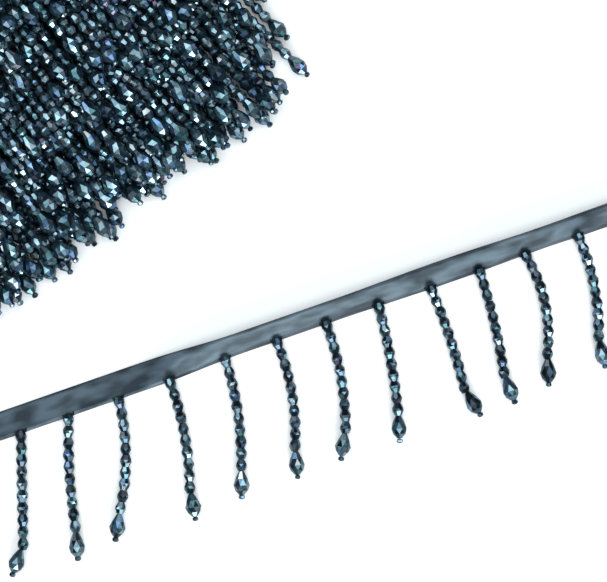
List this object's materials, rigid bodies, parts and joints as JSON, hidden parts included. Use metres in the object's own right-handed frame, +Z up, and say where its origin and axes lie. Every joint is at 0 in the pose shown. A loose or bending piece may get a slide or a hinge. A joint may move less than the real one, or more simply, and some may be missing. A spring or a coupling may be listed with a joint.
{
  "type": "roll of beaded fringe trim",
  "caption": "Roll of satin tape with strands of cut glass beads, each ending in a drop, lying on its side with its loose end folded over and laid out straight in front.",
  "frame": {"origin": "on the floor, under the middle of the whole thing's box", "axes": "+X along the width of the flat coil, +Y along the coil's axis from the bead tips to the tape, +Z up"},
  "size_m": [0.3384, 0.305, 0.038],
  "materials": {
    "satin_tape": "woven satin, blue grey, soft sheen",
    "cut_beads": "faceted glass with a dark metallic blue and teal coating"
  },
  "bodies": {
    "root": {"rolled_tape": "satin_tape", "rolled_fringe": "cut_beads", "loose_tape": "satin_tape", "loose_fringe_start": "cut_beads", "loose_fringe_side": "cut_beads", "loose_fringe_bend": "cut_beads", "loose_fringe_front": "cut_beads"}
  },
  "joints": []
}
